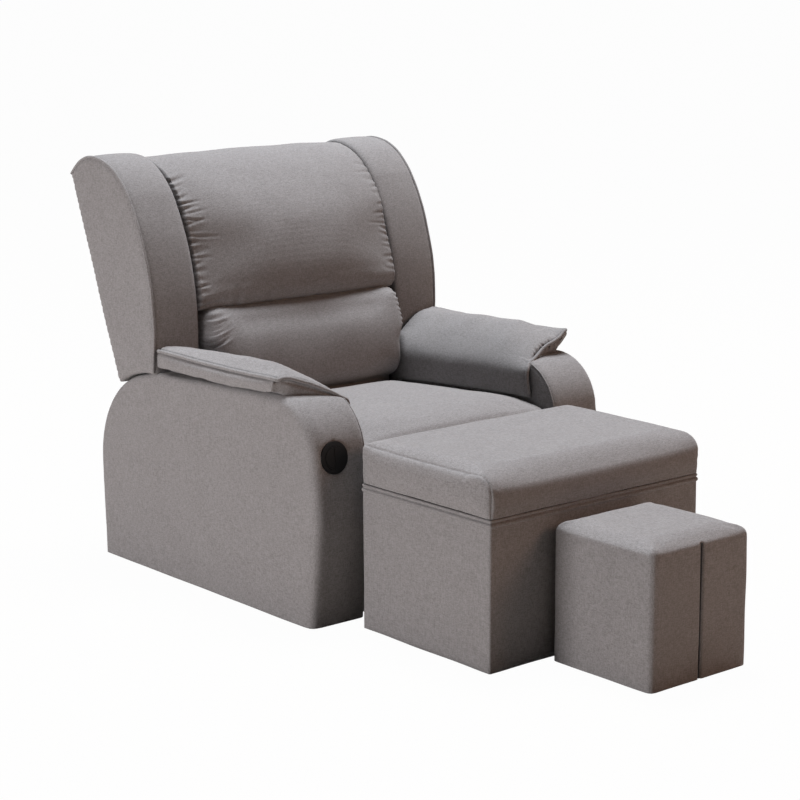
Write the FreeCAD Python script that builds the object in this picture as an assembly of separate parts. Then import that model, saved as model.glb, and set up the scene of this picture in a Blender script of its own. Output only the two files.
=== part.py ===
import FreeCAD, Part
import math
import os
from FreeCAD import Vector

os.makedirs("parts", exist_ok=True)

# All sizes in millimetres. The front is -Y, up is +Z and the floor is z = 0.
# Depths count from the front foot of the arms until a piece is saved.
# Right is +X and left is -X, as seen by a person facing the sofa.

# Sofa sizes
glide_height = 4.0
arm_inner_x = 298.0
arm_width = 149.0
wing_overhang = 8.0
wing_width = 137.0
pivot_y = 637.0
pivot_z = 258.0
shoulder_radius = 236.0
back_height = 1018.0
seat_front_z = 441.0
deck_z = 270.0
fit = 0.3

# Upholstery and board thicknesses
foam = 20.0
wing_foam = 18.0
panel = 15.0
strap = 3.0
strap_width = 55.0
back_strap_count = 6
seat_strap_count = 5
valance = 14.0
skin = 6.0
board = 12.0

# Back sizes measured square to its rear face
rear_panel = 14.0
upright_depth = 40.0
upright_width = 40.0
lever_length = 70.0
lever_angle = 25.0
lever_pin_radius = 6.0

# Drive sizes: the mains inlet, the gearbox and the nut on its screw
inlet_x = -130.0
inlet_z = 100.0
gearbox_y0 = 100.0
gearbox_y1 = 170.0
nut_y = 285.0

# Control sizes
control_x = -392.0
control_z = 398.0
control_radius = 37.5
button_gap = 1.0
button_travel = 1.5

# Ottoman and stool sizes
ottoman_width = 642.0
ottoman_depth = 427.0
ottoman_height = 435.0
ottoman_gap = 63.0
ottoman_x = -28.0
lid_height = 92.0
stool_width = 294.0
stool_depth = 290.0
stool_height = 315.0
stool_gap = 23.5
stool_x = -37.0
stool_pad_height = 60.0
lid_corner = 26.0
lid_overlap = 4.0

# Derived sizes
arm_outer_x = arm_inner_x + arm_width
wing_outer_x = arm_outer_x + wing_overhang
wing_inner_x = wing_outer_x - wing_width
arm_depth = pivot_y + shoulder_radius - 14.0
arm_top_rear_y = pivot_y - 37.0
arm_top_rear_z = pivot_z + shoulder_radius + 13.0
arm_top_front_z = arm_top_rear_z + 21.0
arm_bulge_z = arm_top_front_z - 258.0
top_slope = (arm_top_front_z - arm_top_rear_z) / arm_top_rear_y
back_bottom_y = pivot_y + 146.0
back_bottom_z = pivot_z + shoulder_radius - 14.0
back_top_y = back_bottom_y + 186.0
back_top_z = back_height - 49.0
back_lean = math.atan2(back_top_y - back_bottom_y, back_top_z - back_bottom_z)
back_length = math.hypot(back_top_y - back_bottom_y, back_top_z - back_bottom_z)
frame_front = rear_panel + upright_depth
upright_top = back_length - 70.0
valance_y = arm_depth - 22.0
seat_bottom_z = deck_z + strap
seat_rear_y = pivot_y - 62.0
seat_half = arm_inner_x - 1.0
ottoman_rear = -ottoman_gap
ottoman_front = ottoman_rear - ottoman_depth
ottoman_x0 = ottoman_x - ottoman_width / 2.0
ottoman_x1 = ottoman_x + ottoman_width / 2.0
lid_bottom = ottoman_height - lid_height
stool_rear = ottoman_front - stool_gap
stool_front = stool_rear - stool_depth
stool_x0 = stool_x - stool_width / 2.0
stool_x1 = stool_x + stool_width / 2.0
stool_top = stool_height - stool_pad_height
centre_y = (stool_front + back_top_y) / 2.0
pivot_plate_x = arm_inner_x - 4.0
bracket_outer_x = pivot_plate_x - 1.0 - fit
bracket_inner_x = bracket_outer_x - 5.0
upright_outer_x = bracket_inner_x
upright_inner_x = upright_outer_x - upright_width
lever_pin_y = pivot_y + lever_length * math.sin(math.radians(lever_angle))
lever_pin_z = pivot_z - lever_length * math.cos(math.radians(lever_angle))
rod_z = (lever_pin_z + pivot_z - lever_length) / 2.0
yoke_y0 = lever_pin_y - 26.0
tube_end_y = seat_rear_y - 15.0
front_lean = math.atan2(32.0, arm_top_front_z - arm_bulge_z)
control_y = -30.0 + (control_z - arm_bulge_z) * math.tan(front_lean)
control_out = Vector(0, -math.cos(front_lean), math.sin(front_lean))
control_centre = Vector(control_x, control_y, control_z)


def box(x0, x1, y0, y1, z0, z1):
    return Part.makeBox(x1 - x0, y1 - y0, z1 - z0, Vector(x0, y0, z0))


def tube_y(radius, y0, y1, z, x=0.0):
    return Part.makeCylinder(radius, y1 - y0, Vector(x, y0, z), Vector(0, 1, 0))


def tube_x(radius, x0, x1, y, z):
    return Part.makeCylinder(radius, x1 - x0, Vector(x0, y, z), Vector(1, 0, 0))


def mirrored(shape):
    return shape.mirror(Vector(0, 0, 0), Vector(1, 0, 0))


def pair(shape):
    return Part.makeCompound([shape, mirrored(shape)])


def save(name, shape):
    shape.translated(Vector(0, -centre_y, 0)).exportStep("parts/" + name + ".step")


def side_view(points, radii):
    """Face in the plane x = 0 through (y, z) points with rounded corners."""
    edges = []
    count = len(points)
    starts = []
    for i in range(count):
        corner = Vector(0, points[i][0], points[i][1])
        before = Vector(0, points[i - 1][0], points[i - 1][1])
        after = Vector(0, points[(i + 1) % count][0], points[(i + 1) % count][1])
        into = (before - corner).normalize()
        out = (after - corner).normalize()
        half = math.acos(max(-1.0, min(1.0, into.dot(out)))) / 2.0
        if radii[i] <= 0:
            starts.append((corner, corner))
            continue
        reach = radii[i] / math.tan(half)
        first = corner + into * reach
        last = corner + out * reach
        middle_way = (into + out).normalize()
        middle = corner + middle_way * (radii[i] / math.sin(half) - radii[i])
        starts.append((first, last))
        edges.append(Part.Arc(first, middle, last).toShape())
    for i in range(count):
        a = starts[i][1]
        b = starts[(i + 1) % count][0]
        edges.append(Part.makeLine(a, b))
    return Part.Face(Part.Wire(Part.__sortEdges__(edges)))


def inset(face, distance):
    return Part.Face(face.OuterWire.makeOffset2D(-distance))


def along_x(face, x0, x1):
    return face.translated(Vector(x0, 0, 0)).extrude(Vector(x1 - x0, 0, 0))


def on_circle(angle, radius):
    return (pivot_y + radius * math.cos(angle), pivot_z + radius * math.sin(angle))


def touching_angle(y, z, side):
    """Direction from the pivot to where a line from (y, z) touches the shoulder circle."""
    reach = math.hypot(y - pivot_y, z - pivot_z)
    return math.atan2(z - pivot_z, y - pivot_y) + side * math.acos(shoulder_radius / reach)


def arm_side(drop=0.0):
    """Side outline of an arm; drop carries its front and rear lines below the bottom."""
    front_lean = -30.0 / (arm_bulge_z - glide_height)
    upper = touching_angle(arm_top_rear_y, arm_top_rear_z, -1.0)
    lower = touching_angle(arm_depth, glide_height, 1.0)
    corner = on_circle((upper + lower) / 2.0, shoulder_radius / math.cos((upper - lower) / 2.0))
    rear_lean = (corner[0] - arm_depth) / (corner[1] - glide_height)
    points = [
        (-front_lean * drop, glide_height - drop),
        (-30.0, arm_bulge_z),
        (2.0, arm_top_front_z),
        (arm_top_rear_y, arm_top_rear_z),
        corner,
        (arm_depth - rear_lean * drop, glide_height - drop),
    ]
    return side_view(points, [0.0, 500.0, 130.0, 300.0, shoulder_radius, 0.0])


def edges_at_x(shape, x):
    found = []
    for edge in shape.Edges:
        bounds = edge.BoundBox
        flat = bounds.XMax - bounds.XMin < 0.01
        if flat and abs(bounds.XMin - x) < 0.01 and bounds.ZMax > glide_height + 1.0:
            found.append(edge)
    return found


def arm_body(grow=0.0):
    face = arm_side()
    if grow > 0:
        face = inset(face, -grow)
    body = along_x(face, arm_inner_x - grow, arm_outer_x + grow)
    body = body.makeFillet(22.0, edges_at_x(body, arm_outer_x + grow))
    return body.makeFillet(12.0, edges_at_x(body, arm_inner_x - grow))


def arm_cover():
    core = along_x(inset(arm_side(foam), foam), arm_inner_x - 1.0, arm_outer_x - foam)
    return arm_body().cut(core)


def arm_panel(x0):
    gap = foam + fit
    return along_x(inset(arm_side(gap), gap), x0, x0 + panel)


def arm_battens():
    x0 = arm_inner_x + panel
    x1 = arm_outer_x - foam - panel
    low = glide_height
    rear = arm_depth - 69.0
    front_post = box(x0, x1, 25.0, 65.0, low, arm_bulge_z + 70.0)
    floor_batten = box(x0, x1, 65.0, rear, low, low + 40.0)
    rear_post = box(x0, x1, rear, rear + 40.0, low, pivot_z - 8.0)
    top_z = arm_top_rear_z - foam - 22.0
    top_batten = box(x0, x1, 160.0, arm_top_rear_y - 40.0, top_z - 35.0, top_z)
    return Part.makeCompound([front_post, floor_batten, rear_post, top_batten])


def seat_side_z(y):
    """Height of the seat where it meets the arms."""
    return seat_front_z - 12.0 - (y / seat_rear_y) * 27.0


def arm_pad():
    """Saddle pad: thick outer lip, top falling inwards and a flap down to the seat."""
    front = 62.0
    length = arm_top_rear_y - front + 2.0
    top = arm_top_front_z - top_slope * front
    lip = wing_outer_x

    def at(x, z):
        return Vector(x, front, top + z)

    flap = arm_inner_x - 17.0
    inner = arm_inner_x - fit
    edges = [
        Part.makeLine(at(lip, -8.0), at(lip, 36.0)),
        Part.Arc(at(lip, 36.0), at(lip - 8.0, 51.0), at(lip - 30.0, 58.0)).toShape(),
        Part.Arc(at(lip - 30.0, 58.0), at(lip - 88.0, 42.0), at(flap + 34.0, 15.0)).toShape(),
        Part.Arc(at(flap + 34.0, 15.0), at(flap + 9.0, -9.0), at(flap, -46.0)).toShape(),
        Part.makeLine(at(flap, -46.0), at(flap + 4.0, -150.0)),
        Part.makeLine(at(flap + 4.0, -150.0), at(inner, -150.0)),
        Part.makeLine(at(inner, -150.0), at(inner, -8.0)),
        Part.makeLine(at(inner, -8.0), at(lip, -8.0)),
    ]
    section = Part.Face(Part.Wire(edges))
    pad = section.extrude(Vector(0, length, -top_slope * length))
    rear = front + length
    below = side_view(
        [
            (front - 5.0, seat_side_z(front - 5.0) + 2.0),
            (rear + 5.0, seat_side_z(rear + 5.0) + 2.0),
            (rear + 5.0, 0.0),
            (front - 5.0, 0.0),
        ],
        [0.0, 0.0, 0.0, 0.0],
    )
    pad = pad.cut(along_x(below, seat_half - 1.0, arm_inner_x))
    pad = pad.cut(seat_cushion().translated(Vector(0, 0, fit)))
    corners = [(inner, front), (lip, front + 36.0), (lip, front - 5.0), (inner, front - 5.0)]
    outline = [Vector(x, y, 0) for x, y in corners]
    tip = Part.Face(Part.makePolygon(outline + outline[:1])).extrude(Vector(0, 0, back_height))
    return pad.cut(tip).cut(arm_body(fit))


def lofted(sections):
    return Part.makeLoft(sections, True, False)


def seat_section(x, drop, draw):
    """Side outline of the seat cushion at one place across its width."""
    def at(y, z):
        return Vector(x, y, z)

    top = seat_front_z - drop
    low = seat_bottom_z
    rear_top = top - 27.0
    front = -44.0 + draw
    edges = [
        Part.makeLine(at(seat_rear_y, low), at(front + 26.0, low)),
        Part.Arc(at(front + 26.0, low), at(front, (low + top) / 2.0), at(front + 60.0, top)).toShape(),
        Part.Arc(at(front + 60.0, top), at(290.0, top - 7.0), at(seat_rear_y - 14.0, rear_top)).toShape(),
        Part.makeLine(at(seat_rear_y - 14.0, rear_top), at(seat_rear_y, low)),
    ]
    return Part.Wire(edges)


def seat_cushion():
    half = seat_half
    shoulder = half * 0.7
    places = [
        (-half, 12.0, 9.0),
        (-shoulder, 4.0, 3.0),
        (0.0, 0.0, 0.0),
        (shoulder, 4.0, 3.0),
        (half, 12.0, 9.0),
    ]
    return lofted([seat_section(x, drop, draw) for x, drop, draw in places])


def straps_along_y():
    rows = []
    reach = arm_inner_x - 50.0 - strap_width / 2.0
    pitch = 2.0 * reach / (seat_strap_count - 1)
    for step in range(seat_strap_count):
        x = -reach + pitch * step - strap_width / 2.0
        rows.append(box(x, x + strap_width, 30.0, seat_rear_y - 19.0, deck_z, deck_z + strap))
    return Part.makeCompound(rows)


def front_rail():
    return box(-arm_inner_x, arm_inner_x, 30.0, 56.0, deck_z - 110.0, deck_z)


def rear_rail():
    return box(-arm_inner_x, arm_inner_x, seat_rear_y - 45.0, seat_rear_y - 19.0, deck_z - 48.0, deck_z)


def front_valance():
    half = arm_inner_x - fit
    return box(-half, half, -2.0, 30.0, glide_height + 8.0, deck_z - 2.0)


def rear_valance():
    half = arm_inner_x - fit
    outer = valance_y + valance
    sheet = box(-half, half, valance_y, outer, glide_height + 8.0, pivot_z - 23.0)
    side = 15.0 + fit
    rise = 11.0 + fit
    hole = box(inlet_x - side, inlet_x + side, valance_y - 1.0, outer + 1.0, inlet_z - rise, inlet_z + rise)
    return sheet.cut(hole)


def power_unit():
    body = box(inlet_x - 70.0, inlet_x + 70.0, valance_y - 50.0, valance_y, inlet_z - 40.0, inlet_z + 40.0)
    upright = [e for e in body.Edges if e.BoundBox.YMax - e.BoundBox.YMin > 1.0]
    return body.makeFillet(6.0, upright)


def power_inlet():
    outer = valance_y + valance
    body = box(inlet_x - 15.0, inlet_x + 15.0, valance_y, outer, inlet_z - 11.0, inlet_z + 11.0)
    flange = box(inlet_x - 21.0, inlet_x + 21.0, outer, outer + 3.0, inlet_z - 16.0, inlet_z + 16.0)
    socket = box(inlet_x - 10.0, inlet_x + 10.0, outer - 9.0, outer + 4.0, inlet_z - 6.0, inlet_z + 6.0)
    return body.fuse(flange).removeSplitter().cut(socket)


def actuator_crossbar():
    half = arm_inner_x - 4.0
    rear = gearbox_y0
    tube = box(-half, half, rear - 30.0, rear, rod_z - 20.0, rod_z + 20.0)
    bore = box(-half, half, rear - 28.0, rear - 2.0, rod_z - 18.0, rod_z + 18.0)
    flange = box(half, arm_inner_x, rear - 43.0, rear + 15.0, rod_z - 40.0, rod_z + 40.0)
    return tube.cut(bore).multiFuse([flange, mirrored(flange)])


def actuator_gearbox():
    body = box(-35.0, 35.0, gearbox_y0, gearbox_y1, rod_z - 35.0, rod_z + 35.0)
    rims = [e for e in body.Edges if e.BoundBox.YMax - e.BoundBox.YMin > 1.0]
    return body.makeFillet(10.0, rims)


def actuator_motor():
    mid = (gearbox_y0 + gearbox_y1) / 2.0
    can = Part.makeCylinder(25.0, 104.0, Vector(0, mid, rod_z - 139.0))
    cap = Part.makeCylinder(14.0, 6.0, Vector(0, mid, rod_z - 145.0))
    return can.fuse(cap).removeSplitter()


def actuator_tube():
    pipe = tube_y(21.0, gearbox_y1, tube_end_y, rod_z)
    bore = tube_y(15.0, gearbox_y1, tube_end_y - 15.0, rod_z)
    mouth = tube_y(14.0 + fit, tube_end_y - 16.0, tube_end_y, rod_z)
    return pipe.cut(bore).cut(mouth)


def actuator_screw():
    return tube_y(7.0, gearbox_y1, tube_end_y - 80.0, rod_z)


def tube_hanger():
    top = deck_z - 48.0
    block = box(-32.0, 32.0, seat_rear_y - 45.0, seat_rear_y - 19.0, rod_z - 33.0, top)
    return block.cut(tube_y(21.0 + 0.1, seat_rear_y - 46.0, seat_rear_y - 18.0, rod_z))


def drive_nut():
    ring = tube_y(14.5, nut_y, nut_y + 15.0, rod_z)
    return ring.cut(tube_y(7.0 + fit, nut_y, nut_y + 15.0, rod_z))


def push_rod():
    pipe = tube_y(14.0, nut_y + 15.0, yoke_y0, rod_z)
    return pipe.cut(tube_y(9.0, nut_y + 15.0, yoke_y0 - 20.0, rod_z))


def rod_yoke():
    block = box(-15.0, 15.0, yoke_y0, lever_pin_y + 18.0, rod_z - 24.0, rod_z + 24.0)
    half = lever_pin_radius + 0.9
    rise = (lever_pin_z - rod_z) + 1.2
    slot = box(-16.0, 16.0, lever_pin_y - half, lever_pin_y + half, rod_z - rise, rod_z + rise)
    low = tube_x(half, -16.0, 16.0, lever_pin_y, rod_z - rise)
    high = tube_x(half, -16.0, 16.0, lever_pin_y, rod_z + rise)
    return block.cut(slot.multiFuse([low, high]))


def pivot_plate():
    plate = box(pivot_plate_x, arm_inner_x, pivot_y - 60.0, pivot_y + 60.0, pivot_z - 60.0, pivot_z + 60.0)
    rims = [e for e in plate.Edges if e.BoundBox.XMax - e.BoundBox.XMin > 1.0]
    plate = plate.makeFillet(14.0, rims)
    return plate.cut(tube_x(6.05, pivot_plate_x - 1.0, arm_inner_x + 1.0, pivot_y, pivot_z))


def pivot_stud():
    shaft = tube_x(6.0, bracket_inner_x - fit - 1.0, arm_inner_x, pivot_y, pivot_z)
    head = tube_x(10.0, bracket_inner_x - fit - 6.0, bracket_inner_x - fit, pivot_y, pivot_z)
    return shaft.fuse(head).removeSplitter()


def pivot_washer():
    ring = tube_x(20.0, pivot_plate_x - 1.0, pivot_plate_x, pivot_y, pivot_z)
    return ring.cut(tube_x(6.1, pivot_plate_x - 2.0, pivot_plate_x + 1.0, pivot_y, pivot_z))


def sofa_glides():
    x = arm_inner_x + arm_width / 2.0 - 9.0
    rows = []
    for y in (45.0, arm_depth / 2.0, arm_depth - 49.0):
        rows.append(Part.makeCylinder(20.0, glide_height, Vector(x, y, 0)))
        rows.append(Part.makeCylinder(20.0, glide_height, Vector(-x, y, 0)))
    return Part.makeCompound(rows)


def lean(shape):
    """Carry a shape drawn with its rear face upright onto the leaning back."""
    turned = shape.copy()
    turned.rotate(Vector(0, 0, 0), Vector(1, 0, 0), -math.degrees(back_lean))
    turned.translate(Vector(0, back_bottom_y, back_bottom_z))
    return turned


def back_place(y, z):
    """Distance forward of the rear face and height along it of a point."""
    dy = y - back_bottom_y
    dz = z - back_bottom_z
    forward = -dy * math.cos(back_lean) + dz * math.sin(back_lean)
    height = dy * math.sin(back_lean) + dz * math.cos(back_lean)
    return forward, height


def back_box(x0, x1, forward0, forward1, height0, height1):
    return box(x0, x1, -forward1, -forward0, height0, height1)


pivot_forward, pivot_height = back_place(pivot_y, pivot_z)
pin_forward, pin_height = back_place(lever_pin_y, lever_pin_z)
frame_bottom = pivot_height + 54.0


def back_uprights():
    post = back_box(upright_inner_x, upright_outer_x, rear_panel, frame_front, frame_bottom, upright_top)
    return lean(pair(post))


def back_rails():
    rails = []
    for height in (frame_bottom, 40.0, upright_top - 40.0):
        rail = back_box(-upright_inner_x, upright_inner_x, rear_panel, frame_front, height, height + 40.0)
        rails.append(rail)
    for height in (60.0, upright_top - 120.0):
        block = back_box(upright_outer_x, wing_inner_x, rear_panel, frame_front, height, height + 100.0)
        rails.append(block)
        rails.append(mirrored(block))
    return lean(Part.makeCompound(rails))


def back_straps():
    rows = []
    half = upright_outer_x - 4.0
    first = frame_bottom + 60.0
    pitch = (upright_top - strap_width - 20.0 - first) / (back_strap_count - 1)
    for step in range(back_strap_count):
        height = first + pitch * step
        rows.append(back_box(-half, half, frame_front, frame_front + strap, height, height + strap_width))
    return lean(Part.makeCompound(rows))


def back_rear_panel():
    upper = back_box(-wing_inner_x + fit, wing_inner_x - fit, 0.0, rear_panel, 3.0, upright_top)
    lower = back_box(-upright_outer_x, upright_outer_x, 0.0, rear_panel, frame_bottom, 3.0)
    return lean(upper.fuse(lower).removeSplitter())


def wing_side():
    y = back_bottom_y
    z = back_bottom_z
    top = back_height
    belly = z + 120.0 + 0.53 * (top - z - 207.0)

    def at(dy, dz):
        return Vector(0, y + dy, dz)

    edges = [
        Part.makeLine(at(0.0, z), at(-169.0, z + 30.0)),
        Part.makeLine(at(-169.0, z + 30.0), at(-173.0, z + 120.0)),
        Part.Arc(at(-173.0, z + 120.0), at(-147.0, belly), at(-75.0, top - 87.0)).toShape(),
        Part.Arc(at(-75.0, top - 87.0), at(2.0, top - 20.0), at(98.0, top)).toShape(),
        Part.Arc(at(98.0, top), at(146.5, top - 15.0), at(186.0, top - 49.0)).toShape(),
        Part.makeLine(at(186.0, top - 49.0), at(0.0, z)),
    ]
    return Part.Face(Part.Wire(edges))


def wing_cover():
    body = along_x(wing_side(), wing_inner_x, wing_outer_x)
    body = body.makeFillet(12.0, edges_at_x(body, wing_outer_x))
    core = along_x(inset(wing_side(), wing_foam), wing_inner_x - 1.0, wing_outer_x - wing_foam)
    return body.cut(core)


def wing_frame():
    face = inset(wing_side(), wing_foam + fit)
    x0 = wing_inner_x
    x1 = wing_outer_x - wing_foam
    inner_board = along_x(face, x0, x0 + panel)
    outer_board = along_x(face, x1 - panel, x1)
    solids = [inner_board, outer_board]
    first = 50.0
    pitch = (back_length - 120.0 - first) / 2.0
    for step in range(3):
        height = first + pitch * step
        solids.append(lean(back_box(x0 + panel, x1 - panel, 40.0, 80.0, height, height + 40.0)))
    return Part.makeCompound(solids)


def head_section(x, bulge, draw):
    """Side outline of the head cushion; bulge is its reach forward of the wings."""
    y = back_bottom_y
    z = back_bottom_z
    top = back_height - draw
    belly = z + 225.0 + 0.35 * (top - z - 309.0)
    seat_height = upright_top + fit

    def at(dy, dz):
        return Vector(x, y + dy, dz)

    def on_back(forward, height):
        dy = height * math.sin(back_lean) - forward * math.cos(back_lean)
        return at(dy, z + height * math.cos(back_lean) + forward * math.sin(back_lean))

    frame_face = frame_front + strap + fit
    low = on_back(frame_face, 158.0)
    step = on_back(frame_face, seat_height)
    heel = on_back(2.0 + draw, seat_height)
    crest = on_back(2.0 + draw, back_length - 16.0 - draw)
    chin = at(-140.0 - bulge, z + 168.0)
    lip = at(-168.0 - bulge, z + 225.0)
    brow = at(-70.0 - bulge * 0.7, top - 84.0)
    crown = at(98.0, top)
    edges = [
        Part.makeLine(crest, heel),
        Part.makeLine(heel, step),
        Part.makeLine(step, low),
        Part.makeLine(low, chin),
        Part.Arc(chin, at(-172.0 - bulge, z + 190.0), lip).toShape(),
        Part.Arc(lip, at(-138.0 - bulge, belly), brow).toShape(),
        Part.Arc(brow, at(2.0, top - 18.0), crown).toShape(),
        Part.Arc(crown, at(143.0, top - 17.0), crest).toShape(),
    ]
    return Part.Wire(edges)


def head_cushion():
    half = wing_inner_x - 2.0
    shoulder = half * 0.72
    places = [
        (-half, 2.0, 8.0),
        (-shoulder, 30.0, 2.0),
        (0.0, 42.0, 0.0),
        (shoulder, 30.0, 2.0),
        (half, 2.0, 8.0),
    ]
    return lofted([head_section(x, bulge, draw) for x, bulge, draw in places])


def lumbar_section(x, bulge, low_z, top_z):
    """Side outline of the lumbar cushion between two heights."""
    rear = (frame_front + strap + fit) / math.cos(back_lean)
    slope = math.tan(back_lean)

    def at(y, z):
        return Vector(x, y, z)

    def rear_y(z):
        return back_bottom_y + (z - back_bottom_z) * slope - rear

    front = pivot_y - 48.0
    middle = (low_z + top_z) / 2.0
    edges = [
        Part.makeLine(at(rear_y(top_z), top_z), at(rear_y(low_z), low_z)),
        Part.makeLine(at(rear_y(low_z), low_z), at(front + 4.0, low_z)),
        Part.Arc(at(front + 4.0, low_z), at(front - bulge, middle), at(front + 8.0, top_z)).toShape(),
        Part.makeLine(at(front + 8.0, top_z), at(rear_y(top_z), top_z)),
    ]
    return Part.Wire(edges)


def lumbar_cushion():
    low_z = deck_z + 72.0
    top_z = back_bottom_z + 165.0
    ear_z = arm_top_rear_z + 32.0
    half = arm_inner_x - 24.0
    places = [(-half, 12.0), (-half * 0.7, 26.0), (0.0, 34.0), (half * 0.7, 26.0), (half, 12.0)]
    middle = lofted([lumbar_section(x, bulge, low_z, top_z) for x, bulge in places])
    outer = wing_inner_x - 6.0
    ear = lofted([lumbar_section(half, 5.0, ear_z, top_z), lumbar_section(outer, 0.0, ear_z, top_z)])
    return middle.multiFuse([ear, mirrored(ear)])


def back_bracket():
    corners = [
        (18.0, frame_bottom + 115.0),
        (50.0, frame_bottom + 115.0),
        (pivot_forward + 28.0, pivot_height),
        (pivot_forward - 28.0, pivot_height),
        (18.0, frame_bottom + 5.0),
    ]
    outline = [Vector(bracket_inner_x, -forward, height) for forward, height in corners]
    thickness = bracket_outer_x - bracket_inner_x
    plate = Part.Face(Part.makePolygon(outline + outline[:1])).extrude(Vector(thickness, 0, 0))
    boss = tube_x(28.0, bracket_inner_x, bracket_outer_x, -pivot_forward, pivot_height)
    plate = plate.fuse(boss).removeSplitter()
    bore = tube_x(6.1, bracket_inner_x - 1.0, bracket_outer_x + 1.0, -pivot_forward, pivot_height)
    return lean(plate.cut(bore))


def lever_bracket():
    base = back_box(-30.0, 30.0, rear_panel, frame_front, frame_bottom - 4.0, frame_bottom)
    cheek = back_box(16.0, 21.0, pin_forward - 14.0, frame_front - 14.0, pin_height, frame_bottom - 4.0)
    boss = tube_x(14.0, 16.0, 21.0, -pin_forward, pin_height)
    corner = back_box(15.0, 22.0, pin_forward + 14.0, frame_front, pin_height - 15.0, pin_height + 40.0)
    cheek = cheek.cut(corner).fuse(boss).removeSplitter()
    cheek = cheek.cut(tube_x(lever_pin_radius + 0.05, 15.0, 22.0, -pin_forward, pin_height))
    return lean(base.multiFuse([cheek, mirrored(cheek)]))


def lever_pin():
    return tube_x(lever_pin_radius, -25.0, 25.0, lever_pin_y, lever_pin_z)


def control_disc(radius, depth0, depth1):
    """Disc on the control axis between two depths into the arm."""
    start = control_centre - control_out * depth1
    return Part.makeCylinder(radius, depth1 - depth0, start, control_out)


def control_housing():
    flange = control_disc(control_radius, -4.0, 0.0)
    body = control_disc(control_radius - 6.5, -1.0, 18.0)
    return flange.fuse(body).removeSplitter().cut(control_disc(control_radius - 11.5, -5.0, 15.0))


def control_board():
    return control_disc(control_radius - 11.8, 12.0, 15.0)


def control_button(side):
    disc = control_disc(control_radius - 12.0, -5.0, 12.0 - button_travel - 0.5)
    reach = control_radius
    inner = button_gap / 2.0
    half = box(min(inner * side, reach * side), max(inner * side, reach * side), -60.0, 60.0, -reach, reach)
    return disc.common(half.translated(control_centre))


def control_cable():
    start = control_centre - control_out * (18.0 + 2.0 * fit)
    rear = valance_y - 76.0
    points = [
        start,
        Vector(start.x, 95.0, start.z),
        Vector(start.x, 95.0, inlet_z),
        Vector(start.x, rear, inlet_z),
        Vector(inlet_x, rear, inlet_z),
        Vector(inlet_x, valance_y - 50.0, inlet_z),
    ]
    bend = 20.0
    edges = []
    last = points[0]
    for i in range(1, len(points) - 1):
        into = (points[i - 1] - points[i]).normalize()
        out = (points[i + 1] - points[i]).normalize()
        first = points[i] + into * bend
        end = points[i] + out * bend
        middle = points[i] + (into + out).normalize() * (bend * (math.sqrt(2.0) - 1.0))
        edges.append(Part.makeLine(last, first))
        edges.append(Part.Arc(first, middle, end).toShape())
        last = end
    edges.append(Part.makeLine(last, points[-1]))
    ring = Part.Wire(Part.makeCircle(3.0, start, Vector(0, 1, 0)))
    return Part.Wire(edges).makePipeShell([ring], True, True)


def left_arm_cover():
    return mirrored(arm_cover()).cut(control_disc(control_radius - 6.2, -10.0, foam + 4.0))


def left_inner_panel():
    sheet = mirrored(arm_panel(arm_inner_x))
    return sheet.cut(tube_x(5.0, -arm_inner_x - panel - 1.0, -arm_inner_x + 1.0, valance_y - 76.0, inlet_z))


def rounded_box(x0, x1, y0, y1, z0, z1, corner):
    body = box(x0, x1, y0, y1, z0, z1)
    return body.makeFillet(corner, [e for e in body.Edges if e.BoundBox.ZMax - e.BoundBox.ZMin > 1.0])


def crowned(x0, x1, y0, y1, z0, z1, crown, corner, roll):
    """Upholstered block with upright corners, a domed top and a rolled top edge."""
    half = math.hypot(x1 - x0, y1 - y0) / 2.0
    radius = half * half / (2.0 * crown)
    dome = Part.makeSphere(radius, Vector((x0 + x1) / 2.0, (y0 + y1) / 2.0, z1 - radius))
    body = rounded_box(x0, x1, y0, y1, z0, z1 + 1.0, corner).common(dome)
    rim = [e for e in body.Edges if e.BoundBox.ZMin > z0 + (z1 - z0) / 2.0]
    return body.makeFillet(roll, rim)


def box_boards(x0, x1, y0, y1, z0, z1):
    """Four side boards and a floor."""
    front = box(x0, x1, y0, y0 + board, z0, z1)
    rear = box(x0, x1, y1 - board, y1, z0, z1)
    left = box(x0, x0 + board, y0 + board, y1 - board, z0, z1)
    right = box(x1 - board, x1, y0 + board, y1 - board, z0, z1)
    floor = box(x0 + board, x1 - board, y0 + board, y1 - board, z0, z0 + board)
    return [front, rear, left, right, floor]


def box_glides(x0, x1, y0, y1):
    rows = []
    for x in (x0 + 40.0, x1 - 40.0):
        for y in (y0 + 40.0, y1 - 40.0):
            rows.append(Part.makeCylinder(15.0, glide_height, Vector(x, y, 0)))
    return Part.makeCompound(rows)


def box_cover(x0, x1, y0, y1, z0, z1, corner):
    sleeve = rounded_box(x0, x1, y0, y1, z0, z1, corner)
    return sleeve.cut(box(x0 + skin, x1 - skin, y0 + skin, y1 - skin, z0 - 1.0, z1 + 1.0))


def ottoman_boards():
    x0 = ottoman_x0 + skin
    x1 = ottoman_x1 - skin
    y0 = ottoman_front + skin
    y1 = ottoman_rear - skin
    return Part.makeCompound(box_boards(x0, x1, y0, y1, glide_height, lid_bottom))


def ottoman_cover():
    low = glide_height + 2.0
    return box_cover(ottoman_x0, ottoman_x1, ottoman_front, ottoman_rear, low, lid_bottom - 5.0, 10.0)


def lid_board():
    """Board with corners rounded to stay inside the cushion round it."""
    x0 = ottoman_x0 + lid_overlap
    x1 = ottoman_x1 - lid_overlap
    y0 = ottoman_front + lid_overlap
    y1 = ottoman_rear - lid_overlap
    return rounded_box(x0, x1, y0, y1, lid_bottom, lid_bottom + board, lid_corner - lid_overlap)


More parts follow.
